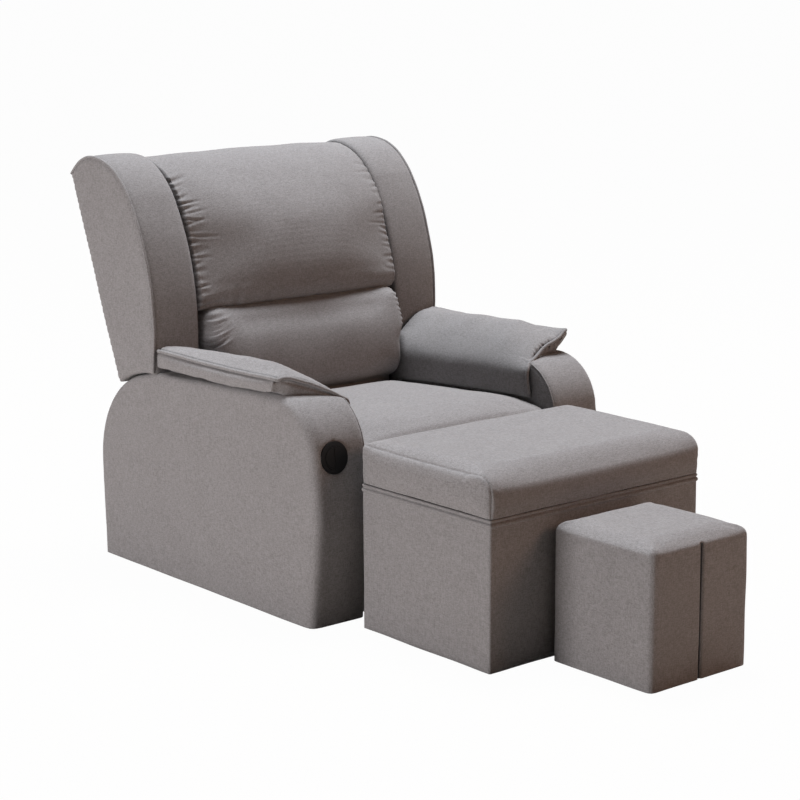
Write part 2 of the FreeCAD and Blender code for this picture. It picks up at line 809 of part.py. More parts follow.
def lid_cushion():
    roll = lid_corner - 2.0
    x0 = ottoman_x0
    x1 = ottoman_x1
    body = crowned(x0, x1, ottoman_front, ottoman_rear, lid_bottom, ottoman_height, 10.0, lid_corner, roll)
    return body.cut(lid_board())


def lid_cleats():
    rows = []
    x0 = ottoman_x0 + skin + board + 4.0
    x1 = ottoman_x1 - skin - board - 4.0
    y0 = ottoman_front + skin + board + 4.0
    y1 = ottoman_rear - skin - board - 4.0
    for y in (y0, y1 - 20.0):
        rows.append(box(x0, x1, y, y + 20.0, lid_bottom - 22.0, lid_bottom))
    return Part.makeCompound(rows)


def stool_boards():
    x0 = stool_x0 + skin
    x1 = stool_x1 - skin
    y0 = stool_front + skin
    y1 = stool_rear - skin
    boards = box_boards(x0, x1, y0, y1, glide_height, stool_top - board)
    boards.append(box(x0, x1, y0, y1, stool_top - board, stool_top))
    return Part.makeCompound(boards)


def stool_cover():
    return box_cover(stool_x0, stool_x1, stool_front, stool_rear, glide_height + 2.0, stool_top, 14.0)


def stool_pad():
    return crowned(stool_x0, stool_x1, stool_front, stool_rear, stool_top, stool_height, 8.0, 24.0, 22.0)


save("right_arm_cover", arm_cover())
save("left_arm_cover", left_arm_cover())
save("right_arm_outer_panel", arm_panel(arm_outer_x - foam - panel))
save("left_arm_outer_panel", mirrored(arm_panel(arm_outer_x - foam - panel)))
save("right_arm_inner_panel", arm_panel(arm_inner_x))
save("left_arm_inner_panel", left_inner_panel())
save("right_arm_battens", arm_battens())
save("left_arm_battens", mirrored(arm_battens()))
save("right_arm_pad", arm_pad())
save("left_arm_pad", mirrored(arm_pad()))
save("front_rail", front_rail())
save("rear_rail", rear_rail())
save("seat_straps", straps_along_y())
save("seat_cushion", seat_cushion())
save("front_valance", front_valance())
save("rear_valance", rear_valance())
save("power_unit", power_unit())
save("power_inlet", power_inlet())
save("actuator_crossbar", actuator_crossbar())
save("actuator_gearbox", actuator_gearbox())
save("actuator_motor", actuator_motor())
save("actuator_tube", actuator_tube())
save("actuator_screw", actuator_screw())
save("tube_hanger", tube_hanger())
save("drive_nut", drive_nut())
save("push_rod", push_rod())
save("rod_yoke", rod_yoke())
save("pivot_plates", pair(pivot_plate()))
save("pivot_studs", pair(pivot_stud()))
save("pivot_washers", pair(pivot_washer()))
save("sofa_glides", sofa_glides())
save("back_uprights", back_uprights())
save("back_rails", back_rails())
save("back_straps", back_straps())
save("back_rear_panel", back_rear_panel())
save("right_wing_cover", wing_cover())
save("left_wing_cover", mirrored(wing_cover()))
save("right_wing_frame", wing_frame())
save("left_wing_frame", mirrored(wing_frame()))
save("head_cushion", head_cushion())
save("lumbar_cushion", lumbar_cushion())
save("back_brackets", pair(back_bracket()))
save("lever_bracket", lever_bracket())
save("lever_pin", lever_pin())
save("control_housing", control_housing())
save("control_board", control_board())
save("recline_button", control_button(-1.0))
save("return_button", control_button(1.0))
save("control_cable", control_cable())
save("ottoman_boards", ottoman_boards())
save("ottoman_cover", ottoman_cover())
save("ottoman_glides", box_glides(ottoman_x0, ottoman_x1, ottoman_front, ottoman_rear))
save("lid_board", lid_board())
save("lid_cushion", lid_cushion())
save("lid_cleats", lid_cleats())
save("stool_boards", stool_boards())
save("stool_cover", stool_cover())
save("stool_pad", stool_pad())
save("stool_glides", box_glides(stool_x0, stool_x1, stool_front, stool_rear))
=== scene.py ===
import math
import random
from contextlib import contextmanager

import bpy
import numpy as np
from mathutils import Matrix, Vector, noise
from mathutils.bvhtree import BVHTree


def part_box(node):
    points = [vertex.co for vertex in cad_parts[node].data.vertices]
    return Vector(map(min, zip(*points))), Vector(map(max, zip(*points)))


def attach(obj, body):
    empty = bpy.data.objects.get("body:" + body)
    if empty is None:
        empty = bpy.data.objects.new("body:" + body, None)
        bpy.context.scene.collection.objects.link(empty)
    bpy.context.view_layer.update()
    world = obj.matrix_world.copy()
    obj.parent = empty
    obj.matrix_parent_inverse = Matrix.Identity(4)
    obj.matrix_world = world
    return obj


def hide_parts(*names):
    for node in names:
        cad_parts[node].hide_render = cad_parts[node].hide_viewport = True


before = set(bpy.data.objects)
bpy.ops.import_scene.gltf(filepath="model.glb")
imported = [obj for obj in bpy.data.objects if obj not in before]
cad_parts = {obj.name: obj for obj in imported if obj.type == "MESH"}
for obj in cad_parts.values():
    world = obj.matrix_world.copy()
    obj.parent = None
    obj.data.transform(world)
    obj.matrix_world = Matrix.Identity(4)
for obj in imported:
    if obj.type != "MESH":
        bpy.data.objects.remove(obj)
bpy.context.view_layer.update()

bl_info = {
    "name": "Pedicure Sofa Upholstery",
    "version": (1, 0, 0),
    "blender": (4, 5, 0),
    "location": "3D View > Sidebar > Sofa",
    "description": "Covers, cushions, welts and finishes of a reclining pedicure sofa with ottoman and stool",
    "category": "Object",
}

# Where the arms' front foot line lies along Y, in millimetres from the middle of the set. The front is -Y.
FOOT_LINE = -82.75
# Ends that are closer than this to a plane lie in it, in metres.
NEAR = 1e-5
# A slub of the cloth is this many times longer than it is wide.
SLUB_LENGTH = 5.0
# The two sides of the sofa and the sign of X there.
SIDES = (("right", 1), ("left", -1))


def linear(code):
    """Linear colour of an sRGB hex code."""
    parts = [int(code[i : i + 2], 16) / 255.0 for i in (0, 2, 4)]
    return tuple(p / 12.92 if p <= 0.04045 else ((p + 0.055) / 1.055) ** 2.4 for p in parts)


def spot(x, y, z):
    """Place in metres of a point given in millimetres from the arms' front foot line."""
    return Vector((x, y + FOOT_LINE, z)) / 1000.0


class SofaFabric(bpy.types.PropertyGroup):
    """Cloth of the covers."""

    shade: bpy.props.FloatVectorProperty(
        name="Thread", description="Main thread colour",
        subtype="COLOR", min=0.0, max=1.0, default=linear("918e8e"),
    )
    fleck: bpy.props.FloatVectorProperty(
        name="Fleck", description="Darker thread colour",
        subtype="COLOR", min=0.0, max=1.0, default=linear("767272"),
    )
    slub: bpy.props.FloatProperty(
        name="Slub width", description="Width of one visible thread",
        default=0.002, min=0.0005, unit="LENGTH",
    )
    wing_welt: bpy.props.FloatProperty(
        name="Wing welt", description="Radius of the welt on the wings",
        default=0.0036, min=0.001, unit="LENGTH",
    )
    pad_welt: bpy.props.FloatProperty(
        name="Pad welt", description="Radius of the welt on the arm pads",
        default=0.0045, min=0.001, unit="LENGTH",
    )


class SofaFilling(bpy.types.PropertyGroup):
    """How full the cushions are."""

    pressure: bpy.props.FloatProperty(
        name="Pressure", description="Air pressure that fills a cover", default=4.0, min=0.0
    )
    back: bpy.props.FloatProperty(
        name="Back swell", description="Most that a back cushion may swell",
        default=0.022, min=0.0, unit="LENGTH",
    )
    seat: bpy.props.FloatProperty(
        name="Seat swell", description="Most that the seat may swell", default=0.012, min=0.0, unit="LENGTH"
    )
    pad: bpy.props.FloatProperty(
        name="Pad swell", description="Most that a small pad may swell", default=0.008, min=0.0, unit="LENGTH"
    )


class SofaStage(bpy.types.PropertyGroup):
    """Light and ground."""

    top: bpy.props.FloatProperty(
        name="Top", description="Power of the lamp overhead", default=690.0, min=0.0, unit="POWER"
    )
    side: bpy.props.FloatProperty(
        name="Side", description="Power of the low lamp at the left", default=182.0, min=0.0, unit="POWER"
    )
    front: bpy.props.FloatProperty(
        name="Front", description="Power of the front lamp", default=46.0, min=0.0, unit="POWER"
    )
    sky: bpy.props.FloatProperty(name="Sky", description="Light from all round", default=0.03, min=0.0)


def add(tree, kind, sets=(), into=(), **settings):
    """Adds a node with its settings, the values of its inputs and the links into them."""
    made = tree.nodes.new("ShaderNode" + kind)
    for key, value in settings.items():
        setattr(made, key, value)
    for key, value in dict(sets).items():
        made.inputs[key].default_value = value
    for key, source in dict(into).items():
        tree.links.new(source, made.inputs[key])
    return made


def joined(tree, operation, a, b):
    """Result of one sum with two linked values."""
    return add(tree, "Math", {}, {0: a, 1: b}, operation=operation).outputs[0]


def spread(tree, value, low, high, to_low, to_high):
    """A value between low and high, spread over another range."""
    ends = {"From Min": low, "From Max": high, "To Min": to_low, "To Max": to_high}
    return add(tree, "MapRange", ends, {"Value": value}).outputs[0]


def stretched_noise(tree, place, scale, detail):
    """Noise with its own scale per metre on each axis."""
    turned = add(tree, "Mapping", {"Scale": scale}, {"Vector": place})
    kind = {"Scale": 1.0, "Detail": detail, "Roughness": 0.6}
    return add(tree, "TexNoise", kind, {"Vector": turned.outputs[0]}).outputs["Fac"]


def blended(tree, first, second, part):
    """Blend of two colours."""
    tones = {6: (*first, 1.0), 7: (*second, 1.0)}
    return add(tree, "Mix", tones, {0: part}, data_type="RGBA").outputs[2]


def end_in(tree, sets, into):
    """Ends a material in one shader."""
    shader = add(tree, "BsdfPrincipled", sets, into)
    add(tree, "OutputMaterial", {}, {"Surface": shader.outputs[0]})


def empty_material(name):
    """New material and its empty tree of nodes."""
    material = bpy.data.materials.new(name)
    material.use_nodes = True
    material.node_tree.nodes.clear()
    return material, material.node_tree


def woven_linen(fabric):
    """Matt woven polyester in a linen look: slubs along the threads both ways and a faint mottle."""
    material, tree = empty_material("woven_linen")
    place = add(tree, "TexCoord").outputs["Object"]
    # Real yarn is finer. It is drawn wider, so that it shows from a few metres away.
    across = 1.0 / fabric.slub
    along = across / SLUB_LENGTH
    scales = ((along, across, across), (across, along, across), (across, across, along))
    threads = [stretched_noise(tree, place, scale, 2.0) for scale in scales]
    weave = joined(tree, "ADD", joined(tree, "ADD", threads[0], threads[1]), threads[2])
    mean = add(tree, "Math", {1: 0.3333}, {0: weave}, operation="MULTIPLY").outputs[0]
    # Mottling of the yarn lots, in clouds about 60 mm wide.
    cloud = add(tree, "TexNoise", {"Scale": 16.0, "Detail": 3.0, "Roughness": 0.55}, {"Vector": place})
    dark = spread(tree, mean, 0.40, 0.60, -0.1, 1.0)
    blot = spread(tree, cloud.outputs["Fac"], 0.3, 0.7, -0.04, 0.08)
    part = add(tree, "Math", {}, {0: dark, 1: blot}, operation="ADD", use_clamp=True)
    colour = blended(tree, fabric.shade, fabric.fleck, part.outputs[0])
    relief = add(tree, "Bump", {"Strength": 0.35, "Distance": 0.0006}, {"Height": mean}, invert=True)
    matt = {"Roughness": 0.93, "Specular IOR Level": 0.18, "Sheen Weight": 0.12, "Sheen Roughness": 0.55}
    end_in(tree, matt, {"Base Color": colour, "Normal": relief.outputs[0]})
    return material


def grained(name, dark, light, scale, roughness, metallic=0.0, relief=0.0002, shine=0.5):
    """Finish with two tones and a fine relief, stretched by the scale given per metre on each axis."""
    material, tree = empty_material(name)
    place = add(tree, "TexCoord").outputs["Object"]
    grain = stretched_noise(tree, place, scale, 4.0)
    colour = blended(tree, linear(dark), linear(light), grain)
    worn = spread(tree, grain, 0.3, 0.7, roughness - 0.06, roughness + 0.06)
    bump = add(tree, "Bump", {"Strength": 0.3, "Distance": relief}, {"Height": grain})
    into = {"Base Color": colour, "Roughness": worn, "Normal": bump.outputs[0]}
    end_in(tree, {"Metallic": metallic, "Specular IOR Level": shine}, into)
    return material


def cover_cloth():
    """The one cloth of all covers, made when first asked for."""
    found = bpy.data.materials.get("woven_linen")
    return found or woven_linen(bpy.context.scene.sofa_fabric)


def painted_shade_cloth():
    """Dull black cloth, almost without pattern, used as painted shade: the dark line in an open joint of the
    covers and in the stool's front seam.
    """
    found = bpy.data.materials.get("painted_shade_cloth")
    return found or grained("painted_shade_cloth", "1a1818", "262323", (500, 500, 500), 0.9)


def share(value, full=1.0):
    """A value as a share of its full size, kept between 0 and 1."""
    return np.clip(value / full, 0.0, 1.0)


def mode(name):
    bpy.ops.object.mode_set(mode=name)


def pick(piece):
    """Selects one piece alone."""
    bpy.ops.object.select_all(action="DESELECT")
    piece.select_set(True)
    bpy.context.view_layer.objects.active = piece


def modify(piece, kind, **settings):
    """Adds a modifier and applies it."""
    pick(piece)
    made = piece.modifiers.new(kind.lower(), kind)
    for key, value in settings.items():
        setattr(made, key, value)
    bpy.ops.object.modifier_apply(modifier=made.name)


def per_point(piece, key):
    """One row of three values for each point of a piece."""
    flat = np.empty(len(piece.data.vertices) * 3)
    piece.data.vertices.foreach_get(key, flat)
    return flat.reshape(-1, 3)


def points_of(piece):
    return per_point(piece, "co")


def normals_of(piece):
    return per_point(piece, "normal")


def move_to(piece, points):
    """Puts all points in new places."""
    piece.data.vertices.foreach_set("co", np.ascontiguousarray(points, dtype=np.float64).ravel())
    piece.data.update()


def push(piece, far):
    """Moves each point outwards by its own distance."""
    move_to(piece, points_of(piece) + normals_of(piece) * far[:, None])


@contextmanager
def editing():
    """Edit mode with the whole piece selected, left again at the end."""
    mode("EDIT")
    bpy.ops.mesh.select_all(action="SELECT")
    yield
    mode("OBJECT")


def copy_of(name, node):
    """Copy of the solid that a soft piece stands for, with its double points merged."""
    piece = bpy.data.objects.new(name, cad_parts[node].data.copy())
    bpy.context.scene.collection.objects.link(piece)
    piece.data.materials.clear()
    pick(piece)
    with editing():
        bpy.ops.mesh.remove_doubles(threshold=0.00002)
    return piece


def bow(a, via, b, count):
    """Points of a bowed line from a through via, without its last point b."""
    a, via, b = Vector(a), Vector(via), Vector(b)
    pull = 2.0 * via - (a + b) / 2.0
    steps = [i / count for i in range(count)]
    return [(1 - t) ** 2 * a + 2 * t * (1 - t) * pull + t * t * b for t in steps]


def rounded(corners):
    """Outline round corners given as (place across, place up, radius)."""
    path = []
    for i, (across, up, radius) in enumerate(corners):
        here = Vector((across, up))
        if not radius:
            path.append(here)
            continue
        into = (Vector(corners[i - 1][:2]) - here).normalized()
        out = (Vector(corners[(i + 1) % len(corners)][:2]) - here).normalized()
        half = into.angle(out) / 2.0
        middle = here + (into + out).normalized() * (radius / math.sin(half))
        start = here + into * (radius / math.tan(half)) - middle
        turn = math.copysign(math.pi - 2.0 * half, into.y * out.x - into.x * out.y)
        steps = max(3, math.ceil(abs(turn) / 0.06))
        for k in range(steps + 1):
            path.append(middle + Matrix.Rotation(turn * k / steps, 2) @ start)
    return path


def slab(name, outline, place, reach):
    """Closed block with a flat outline, set by place and drawn out by reach in millimetres."""
    bpy.ops.mesh.primitive_circle_add(vertices=len(outline), fill_type="NGON")
    piece = bpy.context.object
    piece.name = name
    for corner, (across, up) in zip(piece.data.vertices, outline):
        corner.co = place(across, up)
    with editing():
        bpy.ops.mesh.extrude_region_move(TRANSFORM_OT_translate={"value": Vector(reach) / 1000.0})
        bpy.ops.mesh.select_all(action="SELECT")
        bpy.ops.mesh.normals_make_consistent(inside=False)
    return piece


def block(name, low, high):
    """Cube between two corners given in metres."""
    low, high = Vector(low), Vector(high)
    bpy.ops.mesh.primitive_cube_add(size=1.0, location=(low + high) / 2.0)
    piece = bpy.context.object
    piece.name = name
    piece.scale = high - low
    bpy.ops.object.transform_apply(location=True, rotation=True, scale=True)
    return piece


def both(test):
    """Test of an edge that asks the same of both its ends."""
    return lambda a, b: test(a) and test(b)


def choose(piece, kind, wanted):
    """Selects the edges or faces that pass a test on their points, and stays in edit mode."""
    pick(piece)
    mode("EDIT")
    bpy.ops.mesh.select_mode(type=kind)
    bpy.ops.mesh.select_all(action="DESELECT")
    mode("OBJECT")
    for part in piece.data.edges if kind == "EDGE" else piece.data.polygons:
        part.select = wanted(*(piece.data.vertices[i].co for i in part.vertices))
    mode("EDIT")


def round_edges(piece, wanted, radius, segments=5):
    """Bevels the edges whose ends pass the test."""
    choose(piece, "EDGE", wanted)
    bpy.ops.mesh.bevel(offset=radius, segments=segments, profile=0.5, affect="EDGES")
    mode("OBJECT")


def trim_foot(piece, z):
    """Cuts a piece off level, which leaves the folded edge of the cloth crisp."""
    pick(piece)
    with editing():
        bpy.ops.mesh.bisect(plane_co=(0.0, 0.0, z), plane_no=(0.0, 0.0, 1.0), use_fill=True, clear_inner=True)


def weave_over(piece, size, rounds=4):
    """Gives a block one even skin of small faces and eases its edges."""
    modify(piece, "REMESH", mode="VOXEL", voxel_size=size, use_smooth_shade=True)
    modify(piece, "SMOOTH", iterations=rounds, factor=0.5)


def soften(piece):
    """Divides the faces once more, so that folds and seams can be pressed in finely."""
    modify(piece, "SUBSURF", levels=1, render_levels=1)


def ripple(piece, height, length, seed):
    """Slight unevenness of cloth over foam."""
    shift = Vector((seed * 3.7, seed * 1.3, seed * 2.1))
    lift = np.array([noise.noise(Vector(p) / length + shift) for p in points_of(piece)])
    push(piece, lift * height)


def evened(piece, field, rounds):
    """Averages a value per point with its neighbours, so that only its broad shape stays."""
    pairs = np.empty(len(piece.data.edges) * 2, dtype=np.int64)
    piece.data.edges.foreach_get("vertices", pairs)
    a, b = pairs.reshape(-1, 2).T
    count = 1.0 + np.bincount(pairs, minlength=len(field))
    size = len(field)
    for _ in range(rounds):
        near = [np.bincount(a, field[b, k], size) + np.bincount(b, field[a, k], size) for k in range(3)]
        field = (field + np.stack(near, axis=1)) / count[:, None]
    return field


# Points of a cover with less freedom than this are held still while it fills.
HELD_BELOW = 0.05
# How often a cover's movement is averaged to take its creases out.
CREASE_ROUNDS = 40


def swell(piece, free, cap, context, steps=20, crease=1.0):
    """Fills the cover with air where free is above 0, by no more than the cap.

    Creases keep the share that crease says.
    """
    start = points_of(piece)
    held = piece.vertex_groups.new(name="held")
    held.add([int(i) for i in np.nonzero(free < HELD_BELOW)[0]], 1.0, "REPLACE")
    made = piece.modifiers.new("filling", "CLOTH")
    made.settings.use_pressure = True
    made.settings.uniform_pressure_force = context.scene.sofa_filling.pressure
    made.settings.effector_weights.gravity = 0.0
    made.settings.vertex_group_mass = "held"
    made.settings.quality = 3
    for step in range(1, steps + 1):
        context.scene.frame_set(step)
    shown = piece.evaluated_get(context.evaluated_depsgraph_get())
    end = points_of(shown)
    piece.modifiers.remove(made)
    piece.vertex_groups.clear()
    context.scene.frame_set(1)
    move = end - start
    reach = np.linalg.norm(move, axis=1)
    move *= (np.minimum(reach, cap) / np.maximum(reach, 1e-9) * free)[:, None]
    if crease < 1.0:
        move = crease * move + (1.0 - crease) * evened(piece, move, CREASE_ROUNDS)
    move_to(piece, start + move)


# A fold rises over this length in metres before its root.
FOLD_START = 0.012
# The ridge beside a fold: its share of the fold's depth, and its distance in widths of the fold.
RIDGE_HEIGHT, RIDGE_PLACE = 0.45, 1.9


def pinch(piece, folds, wrap=0.3):
    """Presses folds into the front of a cover. Wrap says how far they go on round its sides.

    A fold is (root, tip, width, depth), in millimetres of the front view.
    """
    flat = points_of(piece)[:, (0, 2)]
    drop = np.zeros(len(flat))
    for root, tip, width, depth in folds:
        start = np.array(root) / 1000.0
        way = np.array(tip) / 1000.0 - start
        length = np.linalg.norm(way)
        way = way / length
        run = (flat - start) @ way
        away = np.linalg.norm(flat - start - np.outer(run, way), axis=1) / (width / 1000.0)
        fade = share(1.0 - run / length) * share(1.0 + run / FOLD_START)
        ridge = RIDGE_HEIGHT * np.exp(-((away - RIDGE_PLACE) ** 2))
        drop += depth / 1000.0 * fade * (np.exp(-(away**2)) - ridge)
    turned = share(-2.0 * normals_of(piece)[:, 1] + wrap)
    push(piece, -drop * turned)


def stitch(piece, path, width, depth):
    """Draws a seam in along a path of points in metres."""
    points = points_of(piece)
    nearest = np.full(len(points), np.inf)
    for a, b in zip(path[:-1], path[1:]):
        a, way = np.array(a), np.array(b) - np.array(a)
        t = share((points - a) @ way, way @ way)
        nearest = np.minimum(nearest, np.linalg.norm(points - a - np.outer(t, way), axis=1))
    push(piece, -depth * np.exp(-((nearest / width) ** 2)))


def lay_on(piece, path, lift):
    """A path moved onto the cover and raised from it."""
    tree = BVHTree.FromObject(piece, bpy.context.evaluated_depsgraph_get())
    laid = []
    for point in path:
        near, normal, _, _ = tree.find_nearest(point)
        laid.append(near + normal * lift)
    return laid


def welt(name, path, radius, closed=False):
    """Corded piping along a path of points in metres."""
    curve = bpy.data.curves.new(name, "CURVE")
    curve.dimensions = "3D"
    curve.bevel_depth = radius
    curve.bevel_resolution = 3
    curve.use_fill_caps = True
    line = curve.splines.new("NURBS")
    line.points.add(len(path) - 1)
    for point, place in zip(line.points, path):
        point.co = (*place, 1.0)
    line.order_u = 4
    line.use_endpoint_u = not closed
    line.use_cyclic_u = closed
    line.resolution_u = 2
    piece = bpy.data.objects.new(name, curve)
    bpy.context.scene.collection.objects.link(piece)
    pick(piece)
    bpy.ops.object.convert(target="MESH")
    return bpy.context.view_layer.objects.active


def dress(piece, body, nodes=(), material=None):
    """Finishes a piece: cloth, smooth shading, its body and the solids that it stands for."""
    pick(piece)
    bpy.ops.object.shade_smooth()
    piece.data.materials.clear()
    piece.data.materials.append(material or cover_cloth())
    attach(piece, body)
    if nodes:
        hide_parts(*nodes)
    return piece


# Side outline of an arm as (depth, height, radius), and its faces' distances from the middle, in millimetres.
ARM_SIDE = rounded(
    [(1, -12, 0), (-30, 270, 500), (2, 528, 130), (600, 507, 300), (884.1, 447.0, 236), (858, -12, 0)]
)
ARM_INNER, ARM_OUTER = 297.0, 447.0
# Depth at which the rounding of an arm's outer edge changes, in millimetres.
ARM_CHANGE = 560
# The arm's front leans back by this angle at the control, in degrees.
ARM_LEAN = 7.07
# Below this height the arms stand out towards the floor, by this much, in metres.
FLARE_HEIGHT, FLARE = 0.40, 0.006


class SOFA_OT_arms(bpy.types.Operator):
    """Upholster both arms with cloth drawn tight over foam"""

    bl_idname = "sofa.arms"
    bl_label = "Arms"

    def execute(self, context):
        for side, sign in SIDES:
            arm = self.block_of(f"{side}_arm_upholstery", sign)
            if sign < 0:
                self.control_hole(arm)
            weave_over(arm, 0.006)
            normals = normals_of(arm)
            outward = share(normals[:, :1] * sign)
            move_to(arm, points_of(arm) + 0.002 * normals * np.hstack((outward, np.ones((len(normals), 2)))))
            self.flare(arm, sign)
            ripple(arm, 0.0014, 0.16, 4 + sign)
            trim_foot(arm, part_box(f"{side}_arm_cover")[0].z - 0.0005)
            front = [spot(298.0 * sign, y, z) for y, z in ARM_SIDE if y < 75.0 and z > 10.0]
            seam = welt(f"{side}_arm_seam", lay_on(arm, front, 0.0004), 0.0021)
            dress(arm, "base", [f"{side}_arm_cover"])
            dress(seam, "base")
        return {"FINISHED"}

    def block_of(self, name, sign):
        """Foam block of an arm. Its outer edge is rounder in front, and most of all at the left arm."""
        inner, outer = ARM_INNER * sign, ARM_OUTER * sign
        arm = slab(name, ARM_SIDE, lambda y, z: spot(inner, y, z), (outer - inner, 0.0, 0.0))
        change = spot(0, ARM_CHANGE, 0).y

        def rim(a, b, behind):
            """Edges of the outer face behind or ahead of the change, apart from those at its foot."""
            outside = max(abs(p.x - outer / 1000.0) for p in (a, b)) < NEAR
            here = min(a.y, b.y) >= change if behind else max(a.y, b.y) <= change
            return outside and here and max(a.z, b.z) > 0.0

        round_edges(arm, lambda a, b: rim(a, b, True), 0.007, 3)
        round_edges(arm, lambda a, b: rim(a, b, False), 0.01 if sign > 0 else 0.02, 6)
        round_edges(arm, both(lambda p: abs(p.x - inner / 1000.0) < NEAR), 0.012, 4)
        return arm

    def flare(self, arm, sign):
        """Towards the floor the outer side and the front stand out a little."""
        points, normals = points_of(arm), normals_of(arm)
        low = share(FLARE_HEIGHT - points[:, 2], FLARE_HEIGHT)
        points[:, 0] += FLARE * sign * low * share(normals[:, 0] * sign * 2.0)
        points[:, 1] -= FLARE * low * share(-normals[:, 1] * 2.0)
        move_to(arm, points)

    def control_hole(self, arm):
        """Cuts the hole for the control's housing, a little smaller than its rim."""
        low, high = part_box("control_housing")
        centre = (low + high) / 2.0
        bpy.ops.mesh.primitive_cylinder_add(
            vertices=48,
            radius=0.033,
            depth=0.06,
            location=centre,
            rotation=(math.radians(90 - ARM_LEAN), 0, 0),
        )
        punch = bpy.context.object
        modify(arm, "BOOLEAN", operation="DIFFERENCE", object=punch, solver="EXACT")
        bpy.data.objects.remove(punch)


def arm_top(y):
    """Height of an arm's top under its pad at a depth, in millimetres. It falls slightly to the rear."""
    return 525.8 - 0.0351 * (y - 62.0)


def pad_front(x):
    """Depth of an arm pad's front at a distance from the middle, in millimetres. The front runs askew."""
    return 62.0 + 36.0 * (x - 297.7) / 157.3


# Front edge of an arm pad: distance from the middle of the sofa and height over the arm, in millimetres.
FRONT_EDGE = [(448, 50), (438, 55), (425, 58), (405, 55), (385, 49), (367, 42), (340, 28), (315, 15)]
FRONT_EDGE += [(301, 3), (290, -9), (285, -25), (281, -46), (282, -65), (283, -85)]
# The last points of it run down the inner flap and have no groove under the welt.
FLAP_POINTS = 6
# How the two pads differ. In millimetres: heights of the outer rim from front to rear, dome of the top, lean
# of the front under its welt, and how far its outer corner is set back. As shares: drawn edge and gathers.
PAD_SHAPES = {
    1: {"rim": (580, 576, 569, 572), "dome": 16.0, "lean": 36.0, "set": -6.0, "drawn": 1.0, "gather": 1.6},
    -1: {"rim": (567, 566, 563, 566), "dome": 10.0, "lean": 12.0, "set": 24.0, "drawn": 0.2, "gather": 0.35},
}


class SOFA_OT_arm_pads(bpy.types.Operator):
    """Make the saddle pads of the arms with their welts"""

    bl_idname = "sofa.arm_pads"
    bl_label = "Arm pads"

    def execute(self, context):
        radius = context.scene.sofa_fabric.pad_welt
        cap = context.scene.sofa_filling.pad
        for side, sign in SIDES:
            pad = copy_of(f"{side}_arm_pad_cushion", f"{side}_arm_pad")
            weave_over(pad, 0.005, 8)
            normals = normals_of(pad)
            free = share(np.maximum(normals[:, 2], normals[:, 0] * sign))
            swell(pad, free, cap, context, 10)
            move_to(pad, self.shaped(points_of(pad), sign))
            soften(pad)
            pinch(pad, self.puckers(sign), wrap=-0.4)
            ripple(pad, 0.002, 0.07, 9 + sign)
            path = np.array([Vector((p.x * sign, p.y, p.z)) for p in self.edge()])
            path = lay_on(pad, [Vector(p) for p in self.shaped(path, sign)], 0.0)
            stitch(pad, path, radius * 1.5, radius * 0.8)
            ahead = path[-len(FRONT_EDGE) : -FLAP_POINTS]
            below = [Vector((p.x, p.y + 0.003, p.z - 0.01)) for p in ahead]
            stitch(pad, lay_on(pad, below, 0.0), 0.005, 0.005)
            trim = welt(f"{side}_arm_pad_welt", lay_on(pad, path, radius), radius)
            dress(pad, "base", [f"{side}_arm_pad"])
            dress(trim, "base")
        return {"FINISHED"}

    def edge(self):
        """Upper outer edge, then across the front and down the inner flap."""
        path = [spot(452, y, arm_top(y) + 46) for y in range(598, 110, -14)]
        path += [spot(x, pad_front(x) + 2, arm_top(pad_front(x)) + z) for x, z in FRONT_EDGE]
        return path

    def shaped(self, points, sign):
        """Domes the top, gathers the outer band up and sets the outer front corner."""
        x = points[:, 0] * sign * 1000.0
        y = points[:, 1] * 1000.0 - FOOT_LINE
        z = points[:, 2] * 1000.0
        shift = np.stack((0.0 * x, self.leaned(x, y, z, sign), self.lifted(x, y, z, sign)), axis=1)
        return points + shift / 1000.0

    def lifted(self, x, y, z, sign):
        """Rise of a pad in millimetres. Its front edge sags between the outer corner and the flap."""
        kind = PAD_SHAPES[sign]
        top = arm_top(y)
        hem = np.interp(y, (62, 122, 281, 485, 599), (532, 530, 521, 521, 523))
        rim = np.interp(y, (62, 115, 350, 600), kind["rim"])
        band = hem + (z - top + 9.0) / 55.0 * (rim - hem) - z
        dome = kind["dome"] * np.exp(-(((x - 390.0) / 55.0) ** 2))
        front = share(pad_front(x) + 140.0 - y, 140.0)
        sag = 18.0 * front**1.5 * share(z - top + 30.0, 40.0)
        outer = share(x - 405.0, 42.0)
        outer = outer * outer * (3.0 - 2.0 * outer)
        lift = dome * (1.0 - front) * share(z - top, 30.0) - sag
        return outer * band + (1.0 - outer) * lift

    def leaned(self, x, y, z, sign):
        """How far the front of a pad leans back under its welt, in millimetres."""
        kind = PAD_SHAPES[sign]
        ahead = share(pad_front(x) + 60.0 - y, 60.0)
        below = share(arm_top(y) + 46.0 - z, 50.0) * share(x - 330.0, 60.0)
        lean = ahead * below * kind["lean"]
        drawn = np.interp(x, (281, 300, 330, 360, 420), (7, 8, 14, 14, 0)) * share(z - 432.0, 50.0)
        lean += ahead * drawn * kind["drawn"]
        lean += ahead * share(x - 330.0, 120.0) * kind["set"]
        return lean

    def puckers(self, sign):
        """Short gathers under the front welt, uneven in length and spacing."""
        chance = random.Random(11 + sign)
        folds = []
        x = 330.0
        while x < 452.0:
            top = arm_top(80) + 1 + (x - 315) * 0.38
            tip = ((x + chance.uniform(-9, 9)) * sign, top - chance.uniform(14, 34))
            depth = chance.uniform(1.0, 3.6) * PAD_SHAPES[sign]["gather"]
            folds.append(((x * sign, top), tip, chance.uniform(2.6, 4.6), depth))
            x += chance.uniform(9, 21)
        return folds


# The back's pivot as (depth, height), and the foot of a wing as an arc about it, in millimetres and radians.
PIVOT_Y, PIVOT_Z = 637, 258
FOOT_RADIUS = 243
FOOT_ARC = np.linspace(0.6, -0.1, 8)
